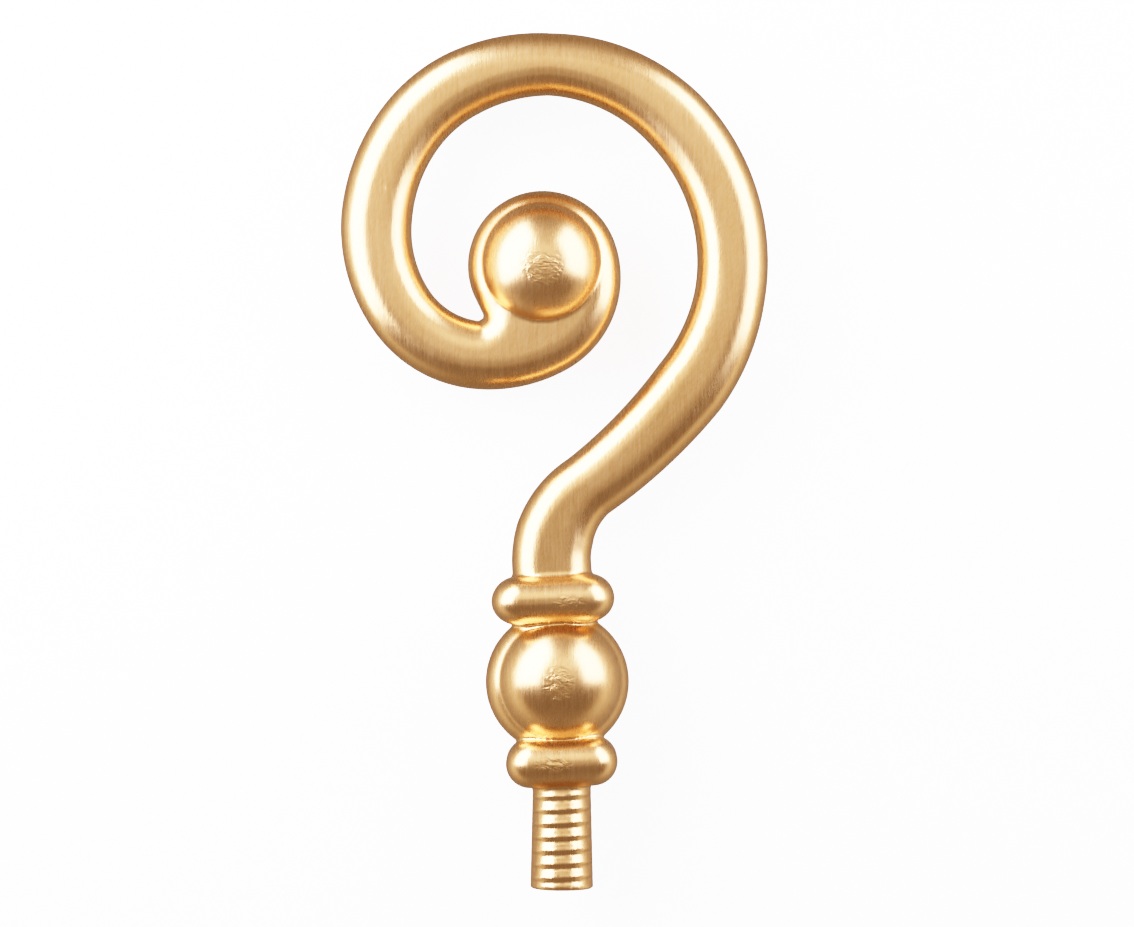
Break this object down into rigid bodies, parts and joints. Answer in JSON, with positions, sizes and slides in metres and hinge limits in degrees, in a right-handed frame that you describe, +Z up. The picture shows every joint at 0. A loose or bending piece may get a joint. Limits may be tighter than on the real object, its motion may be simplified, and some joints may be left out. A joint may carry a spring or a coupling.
{
  "type": "crosier head",
  "caption": "Head of a bishop's crosier: flat-faced scroll crook with a ball in its eye, a balled knop between two rings and a coarse threaded stub, cast in one piece.",
  "frame": {"origin": "under the middle of the casting's box, on the surface that it lies on", "axes": "lying on its back, front face up: +X across the crook to the side its bow reaches, +Y along the threaded stub's axis towards the top of the crook, +Z up out of the front face"},
  "size_m": [0.1602, 0.3206, 0.047],
  "materials": {
    "satin_gold": "cast light alloy, brushed and lacquered satin gold"
  },
  "bodies": {
    "root": {"crosier_head": "satin_gold"}
  },
  "joints": []
}
